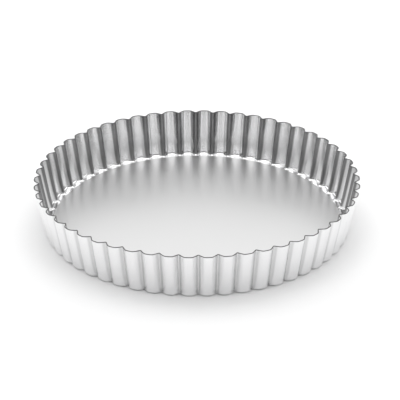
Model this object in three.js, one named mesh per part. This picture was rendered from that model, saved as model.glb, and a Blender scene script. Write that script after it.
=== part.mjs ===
// Loose-bottom tart pan: a fluted ring with an inward ledge, and a flat base that lies on the ledge.
// Millimetres, +Z up. The origin is the centre of the pan on the surface that it stands on.

import * as THREE from "three";
import { mergeVertices } from "three/addons/utils/BufferGeometryUtils.js";

// Driving dimensions
const RIM_DIAMETER = 240;
const HEIGHT = 35;
const FOOT_DIAMETER = 226;
const FOOT_RADIUS = 2;
const SHEET = 0.6;
const LEDGE_HOLE_DIAMETER = 198;
const BASE_DIAMETER = 214;
const BASE_THICKNESS = 0.8;
const BASE_EDGE = 0.25;
const SEAT_GAP = 0.1;

// Flutes: lobes with a broad flat middle, whose sides turn in and meet in sharp ridges
const FLUTES = 54;
const FLUTE_TURN = THREE.MathUtils.degToRad(-2.78);
const RIDGE_DEPTH = 3.1;
const RIDGE_DEPTH_AT_FOOT = 2.4;
const LOBE_FLATNESS = 3;

// Fineness of the facets
const STEPS_PER_FLUTE = 10;
const FOOT_STEPS = 2;
const BASE_STEPS = 112;

// The wall leans outward from upright, and the foot's bend runs into it at a tangent.
const WALL_LEAN = Math.atan((RIM_DIAMETER - FOOT_DIAMETER) / 2 / HEIGHT);
const FOOT_TOP = FOOT_RADIUS * (1 - Math.sin(WALL_LEAN));
const FOOT_CENTRE = lobeRadius(FOOT_TOP) - FOOT_RADIUS * Math.cos(WALL_LEAN);

const ringMetal = new THREE.MeshStandardMaterial({ color: 0xd2d3d4, roughness: 0.18, metalness: 1 });
const baseMetal = new THREE.MeshStandardMaterial({ color: 0xcdcdcd, roughness: 0.34, metalness: 1 });

// The wall's outside on the middle of a lobe
function lobeRadius(height) {
  return FOOT_DIAMETER / 2 + height * Math.tan(WALL_LEAN);
}

// How far a ridge stands in from the middle of the lobes
function ridgeDepth(height) {
  const share = (height - FOOT_TOP) / (HEIGHT - FOOT_TOP);
  return THREE.MathUtils.lerp(RIDGE_DEPTH_AT_FOOT, RIDGE_DEPTH, share);
}

// How far a lobe has come in, from 0 at its middle to 1 at the ridge, turn being in flutes
function lobePress(turn) {
  const across = 1 - Math.abs(1 - 2 * (turn % 1));
  return across ** LOBE_FLATNESS;
}

// One side of the ring's sheet from the hole to the rim, as radius and height.
// press is 0 on a lobe and 1 on a ridge. inset is 0 for the outside and the sheet's thickness inside.
function sheetSide(press, inset) {
  const points = [new THREE.Vector2(LEDGE_HOLE_DIAMETER / 2, inset)];
  const bend = FOOT_RADIUS - inset;
  for (let step = 0; step <= FOOT_STEPS; step += 1) {
    const angle = THREE.MathUtils.lerp(-Math.PI / 2, -WALL_LEAN, step / FOOT_STEPS);
    const radius = FOOT_CENTRE + bend * Math.cos(angle) - RIDGE_DEPTH_AT_FOOT * press;
    points.push(new THREE.Vector2(radius, FOOT_RADIUS + bend * Math.sin(angle)));
  }
  const rimRadius = lobeRadius(HEIGHT) - inset / Math.cos(WALL_LEAN) - ridgeDepth(HEIGHT) * press;
  points.push(new THREE.Vector2(rimRadius, HEIGHT));
  return points;
}

// The ring's closed cross-section: up the outside, over the rim and down the inside
function ringSection(press) {
  const outside = sheetSide(press, 0);
  const inside = sheetSide(press, SHEET);
  return [...outside, ...inside.reverse(), outside[0].clone()];
}

// Welds a lathe's seam and stands its axis along +Z. The lathe's angle 0 then faces -Y.
function finishLathe(lathe) {
  lathe.deleteAttribute("normal");
  lathe.deleteAttribute("uv");
  lathe.rotateX(Math.PI / 2);
  const welded = mergeVertices(lathe, 1e-4);
  welded.computeVertexNormals();
  return welded;
}

// The ring is a lathe whose cross-section moves in and out as it goes round.
function flutedRing() {
  const columns = FLUTES * STEPS_PER_FLUTE;
  const lathe = new THREE.LatheGeometry(ringSection(0), columns, FLUTE_TURN);
  const position = lathe.attributes.position;
  const pointCount = position.count / (columns + 1);
  for (let column = 0; column <= columns; column += 1) {
    const press = lobePress(column / STEPS_PER_FLUTE);
    const angle = FLUTE_TURN + (column % columns) / columns * 2 * Math.PI;
    ringSection(press).forEach((point, index) => {
      const vertex = column * pointCount + index;
      position.setXYZ(vertex, point.x * Math.sin(angle), point.y, point.x * Math.cos(angle));
    });
  }
  const ring = new THREE.Mesh(finishLathe(lathe), ringMetal);
  ring.name = "fluted_ring";
  return ring;
}

// The base is a plain round plate with a broken edge, lying just above the ledge.
function looseBase() {
  const radius = BASE_DIAMETER / 2;
  const profile = [
    new THREE.Vector2(0, 0),
    new THREE.Vector2(radius - BASE_EDGE, 0),
    new THREE.Vector2(radius, BASE_EDGE),
    new THREE.Vector2(radius, BASE_THICKNESS - BASE_EDGE),
    new THREE.Vector2(radius - BASE_EDGE, BASE_THICKNESS),
    new THREE.Vector2(0, BASE_THICKNESS),
  ];
  const base = new THREE.Mesh(finishLathe(new THREE.LatheGeometry(profile, BASE_STEPS)), baseMetal);
  base.name = "loose_base";
  base.position.z = SHEET + SEAT_GAP;
  return base;
}

const tartPan = new THREE.Group();
tartPan.add(flutedRing(), looseBase());

export default tartPan;
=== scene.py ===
"""A loose-bottom tart pan of tinplate, built around its frame, on a white table in soft light."""

import math

import bmesh
import bpy
from bpy.props import FloatProperty, FloatVectorProperty, IntProperty, PointerProperty
from bpy.types import Operator, Panel, PropertyGroup
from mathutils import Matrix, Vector


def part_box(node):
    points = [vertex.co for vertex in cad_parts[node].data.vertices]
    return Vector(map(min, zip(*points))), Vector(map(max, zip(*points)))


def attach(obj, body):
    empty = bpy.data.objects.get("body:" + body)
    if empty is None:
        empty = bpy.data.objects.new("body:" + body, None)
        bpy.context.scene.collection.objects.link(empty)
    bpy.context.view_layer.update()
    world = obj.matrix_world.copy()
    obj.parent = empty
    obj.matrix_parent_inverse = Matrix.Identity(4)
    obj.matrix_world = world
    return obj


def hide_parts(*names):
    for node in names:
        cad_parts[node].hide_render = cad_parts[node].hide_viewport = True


bl_info = {
    "name": "Loose-bottom tart pan",
    "version": (1, 0, 0),
    "blender": (4, 5, 0),
    "location": "3D View > Sidebar > Tart Pan",
    "description": "Builds a fluted tart ring and its loose base, and a white table to show them on",
    "category": "Mesh",
}

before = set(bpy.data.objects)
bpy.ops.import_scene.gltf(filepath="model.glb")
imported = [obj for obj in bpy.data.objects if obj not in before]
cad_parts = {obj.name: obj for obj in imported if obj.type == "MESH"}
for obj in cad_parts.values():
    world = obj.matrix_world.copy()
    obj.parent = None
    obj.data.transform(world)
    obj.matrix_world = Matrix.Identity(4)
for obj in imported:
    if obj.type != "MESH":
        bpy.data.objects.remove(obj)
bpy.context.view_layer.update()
RING_LOW, RING_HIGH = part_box("fluted_ring")
BASE_LOW, BASE_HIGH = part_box("loose_base")
MERGE_DISTANCE = 1e-6

# How a lobe curves: across its middle, and close to the ridge where its sides pinch in
MIDDLE_CURVE = 0.15
PINCH_POWER = 10

# The ring's finish: where the painted shade along its ridges begins and is full between a lobe and a
# ridge, which of its sides a face is on, and the band below its cut edge, darker bare steel widened with
# painted shade
PAINTED_SHADE_SPAN = (0.4, 0.7)
INSIDE_TO_OUTSIDE = (-0.02, 0.02)
PAINTED_SHADE_COLOUR = (0.0, 0.0, 0.0)
BARE_AND_PAINTED_SHADE_BAND = 0.0002
BARE_AND_PAINTED_SHADE_COLOUR = (0.05, 0.05, 0.05)
BARE_ROUGHENING = 0.3

# The sky: where each light begins and is full, along a direction of length 1
BACK_WALL = (0.1, 0.55)
SIDE_WALLS = (0.45, 0.8)
SIDE_WALLS_FOOT = (0.1, 0.3)
WINDOW_EDGE = (-0.45, 0.0)
WINDOW_SILL = (0.59, 0.72)
CEILING = (0.70, 0.90)


class RingSettings(PropertyGroup):
    """Sizes of the fluted ring."""

    rim_radius: FloatProperty(
        name="Rim radius", description="From the axis to the outside of a lobe at the rim",
        default=0.120, unit="LENGTH")
    foot_radius: FloatProperty(
        name="Foot radius", description="Where a lobe's outside would meet the table",
        default=0.113, unit="LENGTH")
    height: FloatProperty(
        name="Height", description="From the table to the rim",
        default=RING_HIGH.z, unit="LENGTH")
    hole_radius: FloatProperty(
        name="Hole radius", description="Radius of the hole inside the ledge",
        default=0.099, unit="LENGTH")
    foot_bend: FloatProperty(
        name="Foot bend", description="Outside radius of the bend between ledge and wall",
        default=0.0026, unit="LENGTH")
    sheet: FloatProperty(
        name="Sheet", description="Thickness of the tinplate",
        default=0.0006, unit="LENGTH")
    cut_edge: FloatProperty(
        name="Cut edge", description="Rounding of the sheet's cut edges",
        default=0.00014, unit="LENGTH")
    flutes: IntProperty(
        name="Flutes", description="Number of flutes round the ring", default=54, min=8)
    flute_turn: FloatProperty(
        name="Flute turn", description="Angle of the first lobe from the front of the pan",
        default=math.radians(-2.78), subtype="ANGLE")
    ridge_depth: FloatProperty(
        name="Ridge depth", description="How far a ridge stands in from the lobes at the rim",
        default=0.0037, unit="LENGTH")
    ridge_depth_at_foot: FloatProperty(
        name="Ridge depth at foot", description="How far a ridge stands in from the lobes at the foot",
        default=0.0030, unit="LENGTH")
    ridge_sharpness: FloatProperty(
        name="Ridge sharpness", description="How sharply the lobes meet at a ridge, where 1 is a fold",
        default=0.995, max=1.0)
    lobe_flat: FloatProperty(
        name="Lobe flat", description="Share of a lobe's width that is flat", default=0.42,
        subtype="FACTOR")
    lobe_bend: FloatProperty(
        name="Lobe bend", description="Softness of the bends beside the flat, as a share of half a lobe",
        default=0.09, subtype="FACTOR")
    ridge_pinch: FloatProperty(
        name="Ridge pinch", description="How much the sides steepen just before they meet at a ridge",
        default=0.15)
    steps_per_flute: IntProperty(
        name="Steps per flute", description="Faces round one flute", default=40, min=4)


class BaseSettings(PropertyGroup):
    """Sizes of the loose base."""

    radius: FloatProperty(
        name="Radius", description="Radius of the plate", default=BASE_HIGH.x, unit="LENGTH")
    underside: FloatProperty(
        name="Underside", description="Height of the plate's underside above the table",
        default=BASE_LOW.z, unit="LENGTH")
    thickness: FloatProperty(
        name="Thickness", description="Thickness of the plate",
        default=BASE_HIGH.z - BASE_LOW.z, unit="LENGTH")
    edge: FloatProperty(
        name="Edge", description="Rounding of the plate's edge", default=0.0005, unit="LENGTH")
    steps: IntProperty(
        name="Steps", description="Faces round the plate", default=280, min=24)


class FinishSettings(PropertyGroup):
    """Colours and gloss of the two kinds of tinplate."""

    bright_colour: FloatVectorProperty(
        name="Bright tinplate", description="Reflection colour of the ring",
        default=(0.90, 0.90, 0.905), subtype="COLOR", size=3)
    bright_roughness: FloatProperty(
        name="Bright roughness", description="Mean roughness of the ring",
        default=0.17, subtype="FACTOR")
    # Painted shade: the ring is darkened towards black along its ridges, fully inside and by a share
    # outside, where the real ring shows dark reflections
    fold_painted_shade: FloatProperty(
        name="Fold painted shade", description="How much darker the inside of the ring is along its ridges",
        default=0.68, subtype="FACTOR")
    outer_painted_shade: FloatProperty(
        name="Outer painted shade", description="Share of that darkening on the outside of the ring",
        default=0.3, subtype="FACTOR")
    satin_colour: FloatVectorProperty(
        name="Satin tinplate", description="Reflection colour of the base",
        default=(0.64, 0.64, 0.64), subtype="COLOR", size=3)
    satin_roughness: FloatProperty(
        name="Satin roughness", description="Mean roughness of the base",
        default=0.37, subtype="FACTOR")


class StageSettings(PropertyGroup):
    """The table, the light and the camera."""

    floor_colour: FloatVectorProperty(
        name="Table", description="Colour of the table", default=(0.95, 0.95, 0.95),
        subtype="COLOR", size=3)
    floor_size: FloatProperty(
        name="Table size", description="Length of the table's sides", default=8.0, unit="LENGTH")
    overhead_light: FloatProperty(
        name="Overhead light", description="Brightness of the soft light overhead", default=1.5)
    overhead_lean: FloatProperty(
        name="Overhead lean", description="How much brighter the light overhead is towards the back",
        default=1.2)
    back_light: FloatProperty(
        name="Back light", description="Brightness of the pale wall behind the pan", default=1.25)
    front_light: FloatProperty(
        name="Front light", description="Brightness of the high window in front of the pan", default=2.45)
    side_light: FloatProperty(
        name="Side light", description="Brightness of the pale walls at the left and right", default=1.3)
    room_light: FloatProperty(
        name="Room light", description="Brightness of the dark room in front of the pan",
        default=0.02)
    distance: FloatProperty(
        name="Camera distance", description="From the camera to the point that it looks at",
        default=1.434, unit="LENGTH")
    elevation: FloatProperty(
        name="Camera elevation", description="Angle of the camera above the table",
        default=math.radians(27.40), subtype="ANGLE")
    field: FloatProperty(
        name="Field of view", description="Angle across the picture",
        default=math.radians(11.788), subtype="ANGLE")
    aim: FloatVectorProperty(
        name="Aim", description="The point that the camera looks at",
        default=(0.00226, 0.0, 0.01721), subtype="XYZ", size=3)


class TartPanSettings(PropertyGroup):
    """Everything that can be changed on the tart pan and its stage."""

    ring: PointerProperty(type=RingSettings)
    base: PointerProperty(type=BaseSettings)
    finish: PointerProperty(type=FinishSettings)
    stage: PointerProperty(type=StageSettings)


class Value:
    """A shader socket. Arithmetic on it adds Math nodes to its tree."""

    def __init__(self, tree, socket):
        self.tree = tree
        self.socket = socket

    def math(self, operation, first, second):
        return self.tree.node("ShaderNodeMath", {"operation": operation}, {0: first, 1: second})

    def __add__(self, other):
        return self.math("ADD", self, other)

    def __radd__(self, other):
        return self.math("ADD", other, self)

    def __sub__(self, other):
        return self.math("SUBTRACT", self, other)

    def __rsub__(self, other):
        return self.math("SUBTRACT", other, self)

    def __mul__(self, other):
        return self.math("MULTIPLY", self, other)

    def __rmul__(self, other):
        return self.math("MULTIPLY", other, self)


class Tree:
    """A material's or world's nodes, made one at a time with their settings and inputs."""

    def __init__(self, owner):
        owner.use_nodes = True
        self.nodes = owner.node_tree.nodes
        self.links = owner.node_tree.links
        self.nodes.clear()

    def node(self, kind, settings=None, inputs=None, output=0):
        made = self.nodes.new(kind)
        for name, value in (settings or {}).items():
            setattr(made, name, value)
        for name, value in (inputs or {}).items():
            if isinstance(value, Value):
                self.links.new(value.socket, made.inputs[name])
            else:
                made.inputs[name].default_value = value
        return Value(self, made.outputs[output]) if made.outputs else None

    def parts(self, vector):
        """The X, Y and Z of a vector."""
        first = self.node("ShaderNodeSeparateXYZ", inputs={"Vector": vector})
        return [Value(self, socket) for socket in first.socket.node.outputs]

    def blend(self, share, first, second):
        """A colour between two, each a colour or a socket."""
        ends = [end if isinstance(end, Value) else opaque(end) for end in (first, second)]
        return self.node(
            "ShaderNodeMix", {"data_type": "RGBA"}, {"Factor": share, 6: ends[0], 7: ends[1]}, output=2)

    def ramp(self, value, low, high, low_out=0.0, high_out=1.0):
        """Eases from low_out to high_out as a value goes from low to high."""
        return self.node(
            "ShaderNodeMapRange", {"interpolation_type": "SMOOTHSTEP"},
            {"Value": value, "From Min": low, "From Max": high, "To Min": low_out, "To Max": high_out})


def opaque(colour):
    """A colour with full alpha, as colour sockets take it."""
    return (*colour, 1.0)


def tinplate(name, colour, roughness, grain_scale, cloud, gloss_change, grain_height,
             painted_shade=0.0, outer_painted_shade=0.0, edge_height=None):
    """Rolled tinplate: clouded colour, gloss that varies along the grain, and a very fine grain.

    Pressed tinplate also gets painted shade along its ridges, mostly inside, and a dark band at its cut
    edge: the darker bare steel of the cut, widened below the edge with painted shade."""
    material = bpy.data.materials.new(name)
    tree = Tree(material)
    place = tree.node("ShaderNodeTexCoord", output="Object")
    along = tree.node("ShaderNodeMapping", inputs={"Vector": place, "Scale": grain_scale})
    grain = tree.node(
        "ShaderNodeTexNoise", inputs={"Vector": along, "Scale": 1.0, "Detail": 4.0, "Roughness": 0.6})
    clouds = tree.node(
        "ShaderNodeTexNoise", inputs={"Vector": place, "Scale": 26.0, "Detail": 3.0, "Roughness": 0.55})
    shade = tree.blend(clouds, Vector(colour) * (1 - cloud), Vector(colour) * (1 + cloud))
    gloss = roughness + (grain - 0.5) * gloss_change + (clouds - 0.5) * gloss_change
    # Painted shade: darkens the ridges towards black, fully on the inside and by the outer share on the
    # outside
    if painted_shade:
        fold = tree.node("ShaderNodeAttribute", {"attribute_name": "fold"}, output="Fac")
        facing = tree.node("ShaderNodeTexCoord", output="Normal")
        outward = tree.node(
            "ShaderNodeVectorMath", {"operation": "DOT_PRODUCT"}, {0: facing, 1: place}, output="Value")
        side_share = tree.ramp(outward, *INSIDE_TO_OUTSIDE, 1.0, outer_painted_shade)
        painted_ridge_shade = tree.ramp(fold, *PAINTED_SHADE_SPAN, 0.0, painted_shade) * side_share
        shade = tree.blend(painted_ridge_shade, shade, PAINTED_SHADE_COLOUR)
    # The cut edge: darker bare steel, with the dark band widened below the edge as painted shade; the
    # roughening is the bare cut's own
    if edge_height:
        height = tree.parts(place)[2]
        bare_and_painted_shade = tree.ramp(height, edge_height - 2 * BARE_AND_PAINTED_SHADE_BAND, edge_height - BARE_AND_PAINTED_SHADE_BAND)
        shade = tree.blend(bare_and_painted_shade, shade, BARE_AND_PAINTED_SHADE_COLOUR)
        gloss = gloss + bare_and_painted_shade * BARE_ROUGHENING
    bump = tree.node(
        "ShaderNodeBump", inputs={"Strength": 1.0, "Distance": grain_height, "Height": grain})
    metal = tree.node(
        "ShaderNodeBsdfPrincipled",
        inputs={"Base Color": shade, "Metallic": 1.0, "Roughness": gloss, "Normal": bump})
    tree.node("ShaderNodeOutputMaterial", inputs={"Surface": metal})
    return material


def show(name, bm, material):
    """Puts a finished bmesh into the scene as a smooth-shaded object at the origin."""
    mesh = bpy.data.meshes.new(name)
    bm.to_mesh(mesh)
    bm.free()
    mesh.materials.append(material)
    mesh.shade_smooth()
    piece = bpy.data.objects.new(name, mesh)
    bpy.context.scene.collection.objects.link(piece)
    return piece


def press_ridges(bm, ring, foot_centre):
    """Presses the ridges into a plain round ring. Each lobe has a flat middle and two sloping sides."""

    def lobe_depth(sway):
        across = abs(math.asin(ring.ridge_sharpness * sway)) / (math.pi / 2)
        beyond = across - ring.lobe_flat
        slope = MIDDLE_CURVE * across ** 2 + beyond + math.hypot(beyond, ring.lobe_bend)
        return slope + ring.ridge_pinch * across ** PINCH_POWER

    folds = bm.verts.layers.float.new("fold")
    for vertex in bm.verts:
        angle = math.atan2(vertex.co.x, -vertex.co.y)
        radius = vertex.co.xy.length
        height = vertex.co.z
        press = lobe_depth(math.sin(ring.flutes * (angle - ring.flute_turn) / 2)) / lobe_depth(1.0)
        taper = (ring.ridge_depth - ring.ridge_depth_at_foot) * height / ring.height
        ledge_share = (radius - ring.hole_radius) / (foot_centre - ring.hole_radius)
        radius -= (ring.ridge_depth_at_foot + taper) * press * min(ledge_share, 1)
        vertex.co = (radius * math.sin(angle), -radius * math.cos(angle), height)
        vertex[folds] = press * min(height / ring.foot_bend, 1)


class TARTPAN_OT_fluted_ring(Operator):
    """Spin the ring's section, press the flutes into it and give the sheet its thickness"""

    bl_idname = "tartpan.fluted_ring"
    bl_label = "Fluted Ring"

    def execute(self, context):
        ring = context.scene.tart_pan.ring
        finish = context.scene.tart_pan.finish
        lean = math.atan((ring.rim_radius - ring.foot_radius) / ring.height)
        foot_tangent = ring.foot_bend * math.tan((math.pi / 2 - lean) / 2)
        bm = bmesh.new()
        hole = bm.verts.new((0.0, -ring.hole_radius, 0.0))
        corner = bm.verts.new((0.0, -ring.foot_radius, 0.0))
        rim = bm.verts.new((0.0, -ring.rim_radius, ring.height))
        bm.edges.new((hole, corner))
        bm.edges.new((corner, rim))
        bmesh.ops.bevel(
            bm, geom=[corner], offset=foot_tangent, offset_type="OFFSET", segments=5,
            profile=0.5, affect="VERTICES", material=-1)
        bmesh.ops.subdivide_edges(bm, edges=[hole.link_edges[0], rim.link_edges[0]], cuts=3)
        bmesh.ops.spin(
            bm, geom=bm.verts[:] + bm.edges[:], cent=(0, 0, 0), axis=(0, 0, 1),
            angle=2 * math.pi, steps=ring.flutes * ring.steps_per_flute, use_merge=True)
        press_ridges(bm, ring, ring.foot_radius - foot_tangent)
        bmesh.ops.remove_doubles(bm, verts=bm.verts, dist=MERGE_DISTANCE)
        bmesh.ops.recalc_face_normals(bm, faces=bm.faces)
        # The ring's material carries painted shade along its ridges and a darkened band at its cut edge
        tin = tinplate(
            "bright_tinplate", finish.bright_colour, finish.bright_roughness,
            grain_scale=(900, 900, 30), cloud=0.015, gloss_change=0.05, grain_height=2e-6,
            painted_shade=finish.fold_painted_shade, outer_painted_shade=finish.outer_painted_shade,
            edge_height=ring.height)
        piece = show("pressed_ring", bm, tin)
        sheet = piece.modifiers.new("sheet", "SOLIDIFY")
        sheet.thickness = ring.sheet
        sheet.offset = -1.0
        sheet.use_even_offset = True
        edge = piece.modifiers.new("cut_edge", "BEVEL")
        edge.width = ring.cut_edge
        edge.segments = 2
        edge.limit_method = "ANGLE"
        edge.angle_limit = math.radians(60)
        edge.harden_normals = True
        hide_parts("fluted_ring")
        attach(piece, "ring")
        return {"FINISHED"}


class TARTPAN_OT_loose_base(Operator):
    """Spin the loose plate's section, with its rounded edge"""

    bl_idname = "tartpan.loose_base"
    bl_label = "Loose Base"

    def execute(self, context):
        base = context.scene.tart_pan.base
        finish = context.scene.tart_pan.finish
        top = base.underside + base.thickness
        bm = bmesh.new()
        under = bm.verts.new((0.0, 0.0, base.underside))
        under_edge = bm.verts.new((0.0, -base.radius, base.underside))
        top_edge = bm.verts.new((0.0, -base.radius, top))
        middle = bm.verts.new((0.0, 0.0, top))
        bm.edges.new((under, under_edge))
        bm.edges.new((under_edge, top_edge))
        bm.edges.new((top_edge, middle))
        bmesh.ops.bevel(
            bm, geom=[under_edge, top_edge], offset=base.edge, offset_type="OFFSET", segments=4,
            profile=0.5, affect="VERTICES", material=-1)
        bmesh.ops.spin(
            bm, geom=bm.verts[:] + bm.edges[:], cent=(0, 0, 0), axis=(0, 0, 1),
            angle=2 * math.pi, steps=base.steps, use_merge=True)
        bmesh.ops.remove_doubles(bm, verts=bm.verts, dist=MERGE_DISTANCE)
        bmesh.ops.recalc_face_normals(bm, faces=bm.faces)
        tin = tinplate(
            "satin_tinplate", finish.satin_colour, finish.satin_roughness,
            grain_scale=(2400, 60, 60), cloud=0.01, gloss_change=0.05, grain_height=1e-6)
        piece = show("base_plate", bm, tin)
        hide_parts("loose_base")
        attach(piece, "base")
        return {"FINISHED"}


class TARTPAN_OT_stage(Operator):
    """Set up the white table, the soft light and the camera"""

    bl_idname = "tartpan.stage"
    bl_label = "Stage"

    def execute(self, context):
        scene = context.scene
        stage = scene.tart_pan.stage
        scene.view_settings.view_transform = "Standard"
        self.lay_table(stage)
        self.light_sky(scene, stage)
        self.set_camera(scene, stage)
        return {"FINISHED"}

    def lay_table(self, stage):
        material = bpy.data.materials.new("table")
        tree = Tree(material)
        colour = opaque(stage.floor_colour)
        cloth = tree.node("ShaderNodeBsdfDiffuse", inputs={"Color": colour, "Roughness": 0.0})
        tree.node("ShaderNodeOutputMaterial", inputs={"Surface": cloth})
        bm = bmesh.new()
        bmesh.ops.create_grid(bm, x_segments=1, y_segments=1, size=stage.floor_size / 2)
        show("table", bm, material)

    def light_sky(self, scene, stage):
        scene.world = bpy.data.worlds.new("sky")
        tree = Tree(scene.world)
        place = tree.node("ShaderNodeTexCoord", output="Generated")
        right, back, up = tree.parts(place)
        wall = tree.ramp(back, *BACK_WALL, stage.room_light, stage.back_light)
        window = tree.ramp(up, *WINDOW_SILL) * tree.ramp(back, *WINDOW_EDGE, stage.front_light, 0.0)
        side_level = tree.ramp(right * right, *SIDE_WALLS, 0.0, stage.side_light)
        around = wall + window + tree.ramp(up, *SIDE_WALLS_FOOT) * side_level
        overhead = stage.overhead_light + back * stage.overhead_lean
        level = around + (overhead - around) * tree.ramp(up, *CEILING)
        glow = tree.node("ShaderNodeBackground", inputs={"Color": (1, 1, 1, 1), "Strength": level})
        tree.node("ShaderNodeOutputWorld", inputs={"Surface": glow})

    def set_camera(self, scene, stage):
        data = bpy.data.cameras.new("camera")
        data.sensor_fit = "HORIZONTAL"
        data.angle = stage.field
        data.clip_start = 0.01
        camera = bpy.data.objects.new("camera", data)
        scene.collection.objects.link(camera)
        back = Vector((0, -math.cos(stage.elevation), math.sin(stage.elevation)))
        camera.location = Vector(stage.aim) + back * stage.distance
        camera.rotation_euler = back.to_track_quat("Z", "Y").to_euler()
        scene.camera = camera


class TARTPAN_PT_sidebar(Panel):
    """The tart pan's settings and the buttons that build it."""

    bl_label = "Tart Pan"
    bl_idname = "TARTPAN_PT_sidebar"
    bl_space_type = "VIEW_3D"
    bl_region_type = "UI"
    bl_category = "Tart Pan"

    def draw(self, context):
        settings = context.scene.tart_pan
        for group in (settings.ring, settings.base, settings.finish, settings.stage):
            box = self.layout.box()
            for name in group.__annotations__:
                box.prop(group, name)
        for operator in OPERATORS:
            self.layout.operator(operator.bl_idname)


GROUPS = (RingSettings, BaseSettings, FinishSettings, StageSettings, TartPanSettings)
OPERATORS = (TARTPAN_OT_fluted_ring, TARTPAN_OT_loose_base, TARTPAN_OT_stage)
CLASSES = GROUPS + OPERATORS + (TARTPAN_PT_sidebar,)


def register():
    for cls in CLASSES:
        bpy.utils.register_class(cls)
    bpy.types.Scene.tart_pan = PointerProperty(type=TartPanSettings)


def unregister():
    del bpy.types.Scene.tart_pan
    for cls in reversed(CLASSES):
        bpy.utils.unregister_class(cls)


def main():
    register()
    bpy.ops.tartpan.fluted_ring()
    bpy.ops.tartpan.loose_base()
    bpy.ops.tartpan.stage()


if __name__ == "__main__":
    main()
